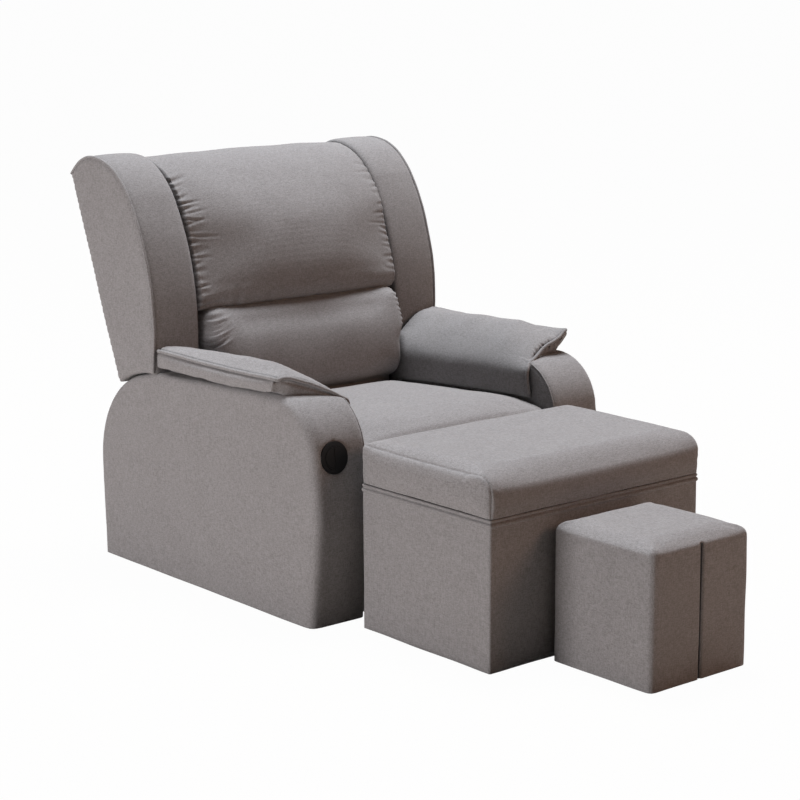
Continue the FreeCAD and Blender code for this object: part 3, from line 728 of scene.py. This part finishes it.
# How far the faces of a wing lie from the middle, in millimetres.
WING_INNER, WING_OUTER = 316.8, 455.0


def wing_outline():
    """Side outline of a wing: along its foot, up the front and over the top to the rear corner."""
    foot = [(PIVOT_Y + FOOT_RADIUS * math.sin(t), PIVOT_Z + FOOT_RADIUS * math.cos(t)) for t in FOOT_ARC]
    path = [Vector(p) for p in foot]
    path += bow((610, 600), (636, 775), (708, 931), 16)
    path += bow((708, 931), (785, 998), (881, 1018), 12)
    path += bow((881, 1018), (929.5, 1003), (969, 969), 6)
    return path + [Vector((969, 969))]


class SOFA_OT_wings(bpy.types.Operator):
    """Upholster the wings of the back and run a welt round their outer edges"""

    bl_idname = "sofa.wings"
    bl_label = "Wings"

    def execute(self, context):
        radius = context.scene.sofa_fabric.wing_welt
        outline = wing_outline()
        for side, sign in SIDES:
            inner, outer = WING_INNER * sign, WING_OUTER * sign
            reach = (outer - inner, 0.0, 0.0)
            wing = slab(f"{side}_wing_upholstery", outline, lambda y, z: spot(inner, y, z), reach)
            round_edges(wing, both(lambda p: abs(p.x - outer / 1000.0) < NEAR), 0.008, 4)
            round_edges(wing, both(lambda p: abs(p.x - inner / 1000.0) < NEAR), 0.008, 3)
            weave_over(wing, 0.006)
            self.crown(wing, sign)
            ripple(wing, 0.0012, 0.12, 15 + sign)
            edge = [(618, 507)] + outline[len(FOOT_ARC) :]
            path = [spot(452 * sign, y, z) for y, z in edge]
            trim = welt(f"{side}_wing_welt", lay_on(wing, path, radius * 0.45), radius)
            dress(wing, "back", [f"{side}_wing_cover"])
            dress(trim, "back")
        return {"FINISHED"}

    def crown(self, wing, sign):
        """The front face is a little fuller in its middle, and the rear is padded."""
        points, normals = points_of(wing), normals_of(wing)
        across = share(points[:, 0] * sign - 0.318, 0.137)
        full = 4.0 * across * (1.0 - across) * share(-normals[:, 1] + 0.6 * normals[:, 2])
        behind = share(normals[:, 1] - 0.6, 0.3)
        push(wing, 0.005 * full + 0.004 * behind)


# Half the width of the head cushion in metres, and how often its face is averaged to even it.
HEAD_HALF = 0.3
FACE_ROUNDS = 90
# Where the gathers of the head cushion start: the seams along its sides and its lower edge, in millimetres.
SIDE_SEAM, FOOT_SEAM = 312, 655


class SOFA_OT_head_cushion(bpy.types.Operator):
    """Make the large pillow of the back, gathered along both sides"""

    bl_idname = "sofa.head_cushion"
    bl_label = "Head cushion"

    def execute(self, context):
        cushion = copy_of("head_pillow", "head_cushion")
        weave_over(cushion, 0.006, 6)
        normals = normals_of(cushion)
        free = share(np.maximum(-normals[:, 1], normals[:, 2]) * 1.4)
        push(cushion, -0.007 * free)
        swell(cushion, free, context.scene.sofa_filling.back, context, crease=0.1)
        self.settle(cushion)
        self.smooth_face(cushion)
        soften(cushion)
        pinch(cushion, self.gathers())
        ripple(cushion, 0.0025, 0.11, 21)
        dress(cushion, "back", ["head_cushion"])
        return {"FINISHED"}

    def settle(self, cushion):
        """The face is fullest above its middle, the lower edge hangs at its ends and the top stands full."""
        points = points_of(cushion)
        z = points[:, 2]
        across = np.abs(points[:, 0]) / HEAD_HALF
        foot = share(0.86 - z, 0.2) ** 2
        head = share(z - 0.93, 0.07)
        facing = share(-normals_of(cushion)[:, 1] * 2.0)
        low = share(0.8 - z, 0.11) ** 2
        full = np.exp(-(((z - 0.88) / 0.06) ** 2))
        rise = head * (0.004 + 0.004 * share(points[:, 0], HEAD_HALF)) - 0.006 * foot * across**2
        points[:, 1] += (0.004 * low - 0.012 * full - 0.009 * across**4) * facing
        points[:, 2] += rise
        move_to(cushion, points)

    def smooth_face(self, cushion):
        """The face runs from the top to the lower edge in one soft curve."""
        points = points_of(cushion)
        soft = evened(cushion, points, FACE_ROUNDS)
        inside = share(0.295 - np.abs(points[:, 0]), 0.05)
        inside *= share(-2.0 * normals_of(cushion)[:, 1]) * share(points[:, 2] - 0.67, 0.04)
        points[:, 1] += (soft[:, 1] - points[:, 1]) * inside
        move_to(cushion, points)

    def gathers(self):
        """Gathers along both side seams, deeper at the left, and three soft folds over the lower edge."""
        chance = random.Random(5)
        folds = []
        for sign, strength in ((-1, 1.0), (1, 0.4)):
            z = float(FOOT_SEAM)
            while z < 965.0:
                length = chance.choice((26, 34, 44, 58, 76)) * chance.uniform(0.85, 1.15)
                width = chance.uniform(2.8, 5.2)
                depth = strength * chance.uniform(1.2, 4.6)
                tip = ((SIDE_SEAM - length) * sign, z + chance.uniform(-4, 16))
                folds.append(((SIDE_SEAM * sign, z), tip, width, depth))
                z += chance.uniform(9, 22)
        for x, dx, dz in ((-120, 22, 42), (40, 20, 36), (-210, 10, 55)):
            folds.append(((x, FOOT_SEAM), (x + dx, FOOT_SEAM + dz), 9.0, 1.8))
        return folds


# Right half of the lumbar cushion's front outline as (distance from the middle, height, radius), and the
# depth of its block, in millimetres.
LUMBAR_HALF = [(280, 350, 22), (280, 520, 40), (310, 556, 40), (308, 652, 26)]
LUMBAR_DEPTH = 150.0


class SOFA_OT_lumbar_cushion(bpy.types.Operator):
    """Make the lower back cushion with drawn corners"""

    bl_idname = "sofa.lumbar_cushion"
    bl_label = "Lumbar cushion"

    def execute(self, context):
        outline = rounded(LUMBAR_HALF + [(-x, z, radius) for x, z, radius in reversed(LUMBAR_HALF)])
        cushion = slab("lumbar_pillow", outline, lambda x, z: spot(x, 0, z), (0.0, LUMBAR_DEPTH, 0.0))
        front = spot(0, 0, 0).y
        round_edges(cushion, both(lambda p: p.y < front + NEAR), 0.02, 6)
        weave_over(cushion, 0.0055, 4)
        self.lean(cushion)
        normals = normals_of(cushion)
        free = share(np.maximum(-normals[:, 1], normals[:, 2] * 0.6) * 1.4)
        swell(cushion, free, context.scene.sofa_filling.back * 0.4, context, crease=0.2)
        soften(cushion)
        pinch(cushion, self.folds())
        ripple(cushion, 0.003, 0.12, 31)
        dress(cushion, "back", ["lumbar_cushion"])
        return {"FINISHED"}

    def lean(self, cushion):
        """Follows the back's slope, rests on the seat and presses up against the head cushion."""
        points = points_of(cushion)
        x, z = np.abs(points[:, 0]), points[:, 2]
        start = spot(0, 0, 0).y
        deep = (points[:, 1] - start) / (LUMBAR_DEPTH / 1000.0)
        under = share(0.47 - z, 0.052)
        front = 0.531 + 1.2 * np.clip(z - 0.45, 0.0, None) ** 2 + 0.046 * (1.0 - np.sqrt(1.0 - under**2))
        front += 0.018 * share(x - 0.26, 0.05) ** 2
        rear = 0.668 + 0.384 * (z - 0.35)
        points[:, 1] = front + deep * (rear - front) + start
        points[:, 2] += share(z - 0.55, 0.08) * (0.004 - 0.008 * (x / 0.3) ** 2)
        move_to(cushion, points)

    def folds(self):
        """Folds that run from both ends of the cushion, longer at the left."""
        chance = random.Random(8)
        folds = []
        for step in range(6):
            z = 560.0 + step * 13.0
            tip = (-252 + step * 6, z + 34 - step * 3)
            folds.append(((-310, z), tip, chance.uniform(3.5, 5.5), chance.uniform(3.5, 6.5)))
        for step in range(7):
            z = 555.0 + step * 13.0
            tip = (282 - step * 2, z + 10)
            folds.append(((310, z), tip, chance.uniform(3.0, 4.5), chance.uniform(1.5, 3.5)))
        return folds


# How far the seat falls to its front edge, and how far that edge is drawn forward, in metres.
SEAT_FALL, SEAT_EDGE = 0.020, 0.010


class SOFA_OT_seat_cushion(bpy.types.Operator):
    """Make the crowned seat cushion"""

    bl_idname = "sofa.seat_cushion"
    bl_label = "Seat cushion"

    def execute(self, context):
        cushion = copy_of("seat_pillow", "seat_cushion")
        weave_over(cushion, 0.0075, 2)
        normals = normals_of(cushion)
        free = share(np.maximum(-normals[:, 1], normals[:, 2]) * 1.4)
        push(cushion, -0.004 * free)
        swell(cushion, free, context.scene.sofa_filling.seat, context, crease=0.1)
        self.square(cushion)
        soften(cushion)
        ripple(cushion, 0.002, 0.2, 41)
        dress(cushion, "base", ["seat_cushion"])
        return {"FINISHED"}

    def square(self, cushion):
        """The top falls a little to the front, where the cloth is drawn over a square foam edge."""
        points, normals = points_of(cushion), normals_of(cushion)
        turn = share(-normals[:, 1]) * share(normals[:, 2]) * 2.0
        fall = share(0.1 - points[:, 1], 0.22) ** 2 * share(points[:, 2] - 0.36, 0.05)
        points[:, 2] -= SEAT_FALL * fall
        points[:, 1] -= SEAT_EDGE * turn
        move_to(cushion, points)


class SOFA_OT_panels(bpy.types.Operator):
    """Cover the rear of the back and the panels between the arms"""

    bl_idname = "sofa.panels"
    bl_label = "Panels"

    def execute(self, context):
        for name, node, body, size in (
            ("rear_upholstery", "back_rear_panel", "back", 0.005),
            ("front_apron", "front_valance", "base", 0.006),
            ("rear_apron", "rear_valance", "base", 0.0035),
        ):
            panel = copy_of(name, node)
            weave_over(panel, size, 2)
            ripple(panel, 0.0012, 0.13, 50 + len(name))
            dress(panel, body, [node])
        return {"FINISHED"}


def ring(low, high, z, out, corner):
    """Path round a box at one height, with rounded corners."""
    path = []
    x0, x1, y0, y1 = low.x - out, high.x + out, low.y - out, high.y + out
    radius = corner + out
    left, right, front, rear = x0 + radius, x1 - radius, y0 + radius, y1 - radius
    for turn, x, y in ((-90, right, front), (0, right, rear), (90, left, rear), (180, left, front)):
        for step in range(5):
            a = math.radians(turn + step * 22.5)
            path.append(Vector((x + radius * math.cos(a), y + radius * math.sin(a), z)))
    full = []
    for a, b in zip(path, path[1:] + path[:1]):
        count = max(1, int((b - a).length / 0.02))
        full += [a.lerp(b, i / count) for i in range(count)]
    return full


class SOFA_OT_ottoman(bpy.types.Operator):
    """Cover the storage ottoman, with a double welt under its lid"""

    bl_idname = "sofa.ottoman"
    bl_label = "Ottoman box"

    def execute(self, context):
        low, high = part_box("ottoman_cover")
        low.z = 0.0015
        cover = self.sleeve("ottoman_upholstery", low, high, 0.0, 0.0055, 0.005)
        ripple(cover, 0.0012, 0.12, 61)
        dress(cover, "ottoman", ["ottoman_cover"])
        for name, drop, radius in (
            ("ottoman_upper_welt", 0.0008, 0.0032),
            ("ottoman_lower_welt", 0.011, 0.0048),
        ):
            path = ring(low, high, high.z - drop, -0.0008, 0.005)
            dress(welt(name, path, radius, closed=True), "ottoman")
        # Painted shade: a black band set into the gap under the lid, which stands for the shade in that
        # joint.
        high.z += 0.0045
        low.z = high.z - 0.02
        band = self.sleeve("ottoman_painted_shade_band", low, high, -0.0048, 0.0008, 0.004)
        dress(band, "ottoman", material=painted_shade_cloth())
        return {"FINISHED"}

    def sleeve(self, name, low, high, out, wall, corner):
        """Open sleeve with rounded corners, set out from a box by out and with a wall inside that."""
        grow = Vector((out, out, 0.0))
        sleeve = block(name, low - grow, high + grow)
        round_edges(sleeve, lambda a, b: abs(a.z - b.z) > 0.001, corner, 4)
        choose(sleeve, "FACE", lambda *ends: max(p.z for p in ends) - min(p.z for p in ends) < NEAR)
        bpy.ops.mesh.delete(type="ONLY_FACE")
        bpy.ops.mesh.select_all(action="SELECT")
        bpy.ops.mesh.subdivide(number_cuts=24)
        bpy.ops.mesh.select_all(action="SELECT")
        bpy.ops.mesh.normals_make_consistent(inside=False)
        mode("OBJECT")
        modify(sleeve, "SOLIDIFY", thickness=wall, offset=-1.0)
        return sleeve


# Radius of the roll along the front of the ottoman's lid, in metres.
LID_ROLL = 0.04


class SOFA_OT_lid(bpy.types.Operator):
    """Make the ottoman's lid cushion with its boxed sides"""

    bl_idname = "sofa.lid"
    bl_label = "Ottoman lid"

    def execute(self, context):
        low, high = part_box("lid_cushion")
        foot = low.z - 0.0005
        low -= Vector((0.0015, 0.0015, 0.012))
        high += Vector((0.0025, 0.0015, 0.0))
        lid = block("lid_pillow", low, high)
        front = both(lambda p: p.z > high.z - NEAR and p.y < low.y + NEAR)
        round_edges(lid, front, LID_ROLL, 8)
        round_edges(lid, lambda a, b: self.boxed(a, b, low, high), 0.009, 4)
        weave_over(lid, 0.0045, 2)
        normals = normals_of(lid)
        upper = share(points_of(lid)[:, 2] - foot, 0.02)
        free = upper * share(normals[:, 2] + 0.5 * np.hypot(normals[:, 0], normals[:, 1]))
        swell(lid, free, context.scene.sofa_filling.pad, context, 12)
        bulge = np.sin(np.pi * share(points_of(lid)[:, 2] - foot, high.z - foot))
        normals[:, 2] = 0.0
        move_to(lid, points_of(lid) + normals * (0.0035 * bulge)[:, None])
        soften(lid)
        for x in (low.x + 0.002, high.x - 0.002):
            stitch(lid, lay_on(lid, self.seam(x, low, high), 0.0), 0.0022, 0.0026)
        trim_foot(lid, foot)
        ripple(lid, 0.0016, 0.12, 71)
        dress(lid, "ottoman_lid", ["lid_cushion"])
        return {"FINISHED"}

    def boxed(self, a, b, low, high):
        """Edges of the boxed sides: all round the top and down the four corners."""
        upright = abs(a.z - b.z) > 0.03
        across = [min(abs(p.x - low.x), abs(p.x - high.x)) < NEAR for p in (a, b)]
        above = min(a.z, b.z) > low.z + 0.01
        return upright or (above and (all(across) or min(a.y, b.y) > high.y - NEAR))

    def seam(self, x, low, high):
        """Side seam from the foot up the front, over its roll and back along the top."""
        path = [Vector((x, low.y, z)) for z in np.linspace(low.z + 0.014, high.z - LID_ROLL, 6)]
        for step in range(1, 8):
            a = math.radians(step * 90.0 / 8.0)
            y, z = low.y + LID_ROLL * (1.0 - math.cos(a)), high.z - LID_ROLL * (1.0 - math.sin(a))
            path.append(Vector((x, y, z)))
        return path + [Vector((x, y, high.z)) for y in np.linspace(low.y + LID_ROLL, high.y - 0.01, 20)]


class SOFA_OT_stool(bpy.types.Operator):
    """Cover the stool in one cloth with a seam down its front"""

    bl_idname = "sofa.stool"
    bl_label = "Stool"

    def execute(self, context):
        low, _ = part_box("stool_cover")
        _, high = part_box("stool_pad")
        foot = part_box("stool_boards")[0].z - 0.0005
        low = Vector((low.x - 0.0025, low.y - 0.0015, foot - 0.012))
        high += Vector((0.003, 0.0025, 0.0))
        stool = block("stool_upholstery", low, high)
        round_edges(stool, lambda a, b: abs(a.z - b.z) > 0.01, 0.014)
        round_edges(stool, both(lambda p: p.z > high.z - NEAR), 0.022)
        weave_over(stool, 0.005, 2)
        free = share(normals_of(stool)[:, 2] * 1.2)
        swell(stool, free, context.scene.sofa_filling.pad, context, 10)
        soften(stool)
        middle = (low.x + high.x) / 2.0
        seam = [Vector((middle, low.y, z)) for z in np.linspace(low.z, high.z - 0.014, 16)]
        stitch(stool, seam, 0.004, 0.0062)
        ripple(stool, 0.0014, 0.1, 81)
        trim_foot(stool, foot)
        dress(stool, "stool", ["stool_cover", "stool_pad"])
        # Painted shade: a black cord inside the front seam darkens its groove, where shade falls.
        inside = [Vector((p.x, p.y + 0.0034, max(p.z, foot + 0.001))) for p in seam]
        shade_slit = welt("stool_painted_shade_slit", inside, 0.0017)
        dress(shade_slit, "stool", material=painted_shade_cloth())
        return {"FINISHED"}


def hard_finishes():
    """Finish for each material of the hard pieces: two tones, grain per metre, roughness and relief."""
    fine = {"relief": 0.00005}
    return {
        # Rotary-cut plywood: pale tan with long brown grain, dry and unvarnished.
        "plywood": grained("birch_plywood", "a9875c", "d2b287", (9, 120, 60), 0.75, relief=0.0004),
        # Woven rubber webbing, black with a faint rib.
        "webbing": grained("elastic_webbing", "121214", "2b2b2f", (400, 60, 400), 0.85),
        # Zinc plated sheet and bar, cool grey with a soft cloudy lustre.
        "steel": grained("zinc_plated_steel", "8d9094", "b4b7bb", (90, 90, 90), 0.38, 1.0, **fine),
        # Ground and chromed rod, near mirror with fine drawing marks.
        "chromed_rod": grained("hard_chrome", "c4c5c8", "dcdde0", (600, 40, 600), 0.14, 1.0, 0.00002),
        # Satin black stove enamel on the motor and gearbox.
        "motor_paint": grained("black_stove_enamel", "101112", "1b1c1e", (300, 300, 300), 0.42, 0.0, 0.0001),
        # Moulded ABS with a fine spark texture, near black.
        "black_plastic": grained(
            "moulded_abs", "030304", "070708", (900, 900, 900), 0.38, relief=0.00015, shine=0.22
        ),
        # Natural nylon, milky white and waxy.
        "nylon": grained("natural_nylon", "d6d2c6", "e6e3da", (120, 120, 120), 0.5, **fine),
        # Glass-fibre board under green solder lacquer.
        "circuit_board": grained("solder_lacquer", "0a3a20", "125a32", (260, 260, 260), 0.35, **fine),
        # Extruded PVC sheath, black and slightly oily.
        "cable_sheath": grained("pvc_sheath", "0b0b0b", "171717", (300, 300, 300), 0.5, **fine),
    }


class SOFA_OT_hardware(bpy.types.Operator):
    """Give the frame, drive and control their finishes"""

    bl_idname = "sofa.hardware"
    bl_label = "Frame and drive"

    def execute(self, context):
        finishes = hard_finishes()
        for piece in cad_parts.values():
            held = piece.material_slots[0].material.name.split(".")[0]
            if held in finishes:
                piece.material_slots[0].material = finishes[held]
            elif held != "fabric":
                raise RuntimeError(f"{piece.name} has no finish for {held}")
        return {"FINISHED"}


def straight_view(tree):
    """1 on rays that come straight from the eye, or by way of a mirror or glass, and 0 on all others."""
    path = add(tree, "LightPath")
    eye, mirror, glass = (path.outputs[f"Is {kind} Ray"] for kind in ("Camera", "Glossy", "Transmission"))
    return joined(tree, "MAXIMUM", joined(tree, "MAXIMUM", eye, mirror), glass)


# Place of the camera in metres, its turns in degrees, and its lens and film width in millimetres.
CAMERA_PLACE = (-3.2508, -3.73055, 1.4921)
YAW, PITCH, ROLL = 40.05, 11.76, -0.20
LENS, FILM = 94.92, 36.0


class SOFA_OT_stage(bpy.types.Operator):
    """Set the pale floor, the soft lamps and the camera"""

    bl_idname = "sofa.stage"
    bl_label = "Stage"

    def execute(self, context):
        stage = context.scene.sofa_stage
        context.scene.view_settings.view_transform = "Standard"
        self.floor()
        self.sky(context, stage.sky)
        self.lamp("top_lamp", (1.0, 1.05, 6.5), (-0.1, -0.5, 0.4), (2.4, 2.4), stage.top, "f5faff")
        self.lamp("side_lamp", (-5.0, 1.1, 0.4), (0.0, 0.2, 0.45), (2.4, 0.8), stage.side, "fffcfd")
        self.lamp("front_lamp", (2.0, -4.2, 2.4), (0.0, 0.0, 0.4), (2.0, 1.6), stage.front, "ffccac")
        self.camera(context)
        return {"FINISHED"}

    def floor(self):
        """Matt floor that looks white and takes only faint shadows."""
        bpy.ops.mesh.primitive_plane_add(size=400.0, location=(0.0, 0.0, 0.0))
        floor = bpy.context.object
        floor.name = "floor"
        material, tree = empty_material("pale_floor")
        matt = add(tree, "BsdfDiffuse", {"Color": (*linear("aea59d"), 1.0)})
        white = add(tree, "Emission", {"Color": (1.0, 1.0, 1.0, 1.0), "Strength": 1.0})
        part = add(tree, "Math", {1: 0.98}, {0: straight_view(tree)}, operation="MULTIPLY")
        mixed = add(tree, "MixShader", {}, {0: part.outputs[0], 1: matt.outputs[0], 2: white.outputs[0]})
        add(tree, "OutputMaterial", {}, {"Surface": mixed.outputs[0]})
        floor.data.materials.append(material)

    def sky(self, context, strength):
        """Weak light from all round before a white background."""
        world = context.scene.world or bpy.data.worlds.new("sky")
        context.scene.world = world
        world.use_nodes = True
        tree = world.node_tree
        tree.nodes.clear()
        soft = add(tree, "Background", {"Color": (*linear("fff4ec"), 1.0), "Strength": strength})
        white = add(tree, "Background", {"Color": (1.0, 1.0, 1.0, 1.0), "Strength": 1.0})
        mixed = add(tree, "MixShader", {}, {0: straight_view(tree), 1: soft.outputs[0], 2: white.outputs[0]})
        add(tree, "OutputWorld", {}, {"Surface": mixed.outputs[0]})

    def lamp(self, name, place, target, size, power, tint):
        """Flat lamp that faces a target."""
        light = bpy.data.lights.new(name, "AREA")
        light.shape = "RECTANGLE"
        light.size, light.size_y = size
        light.energy = power
        light.color = linear(tint)
        piece = bpy.data.objects.new(name, light)
        bpy.context.scene.collection.objects.link(piece)
        piece.location = place
        piece.rotation_euler = (Vector(target) - Vector(place)).to_track_quat("-Z", "Y").to_euler()

    def camera(self, context):
        """Camera at the eye of the view, turned by yaw, pitch and roll."""
        lens = bpy.data.cameras.new("camera")
        lens.sensor_width = FILM
        lens.lens = LENS
        piece = bpy.data.objects.new("camera", lens)
        context.scene.collection.objects.link(piece)
        yaw, pitch, roll = math.radians(YAW), math.radians(PITCH), math.radians(ROLL)
        turn = Matrix.Rotation(-yaw, 4, "Z") @ Matrix.Rotation(math.pi / 2.0 - pitch, 4, "X")
        piece.matrix_world = Matrix.Translation(CAMERA_PLACE) @ turn @ Matrix.Rotation(roll, 4, "Z")
        context.scene.camera = piece


class SOFA_PT_panel(bpy.types.Panel):
    """Sizes and pieces of the sofa"""

    bl_idname = "SOFA_PT_panel"
    bl_label = "Pedicure sofa"
    bl_space_type = "VIEW_3D"
    bl_region_type = "UI"
    bl_category = "Sofa"

    def draw(self, context):
        for group in (context.scene.sofa_fabric, context.scene.sofa_filling, context.scene.sofa_stage):
            box = self.layout.box()
            for key in group.__annotations__:
                box.prop(group, key)
        for kind in OPERATORS:
            self.layout.operator(kind.bl_idname)


GROUPS = {"sofa_fabric": SofaFabric, "sofa_filling": SofaFilling, "sofa_stage": SofaStage}
OPERATORS = (
    SOFA_OT_hardware,
    SOFA_OT_arms,
    SOFA_OT_arm_pads,
    SOFA_OT_wings,
    SOFA_OT_head_cushion,
    SOFA_OT_lumbar_cushion,
    SOFA_OT_seat_cushion,
    SOFA_OT_panels,
    SOFA_OT_ottoman,
    SOFA_OT_lid,
    SOFA_OT_stool,
    SOFA_OT_stage,
)


def register():
    for kind in (*GROUPS.values(), *OPERATORS, SOFA_PT_panel):
        bpy.utils.register_class(kind)
    for name, kind in GROUPS.items():
        setattr(bpy.types.Scene, name, bpy.props.PointerProperty(type=kind))


def unregister():
    for name in GROUPS:
        delattr(bpy.types.Scene, name)
    for kind in reversed((*GROUPS.values(), *OPERATORS, SOFA_PT_panel)):
        bpy.utils.unregister_class(kind)


def main():
    """Builds all pieces in order."""
    register()
    bpy.ops.sofa.hardware()
    bpy.ops.sofa.arms()
    bpy.ops.sofa.arm_pads()
    bpy.ops.sofa.wings()
    bpy.ops.sofa.head_cushion()
    bpy.ops.sofa.lumbar_cushion()
    bpy.ops.sofa.seat_cushion()
    bpy.ops.sofa.panels()
    bpy.ops.sofa.ottoman()
    bpy.ops.sofa.lid()
    bpy.ops.sofa.stool()
    bpy.ops.sofa.stage()


if __name__ == "__main__":
    main()
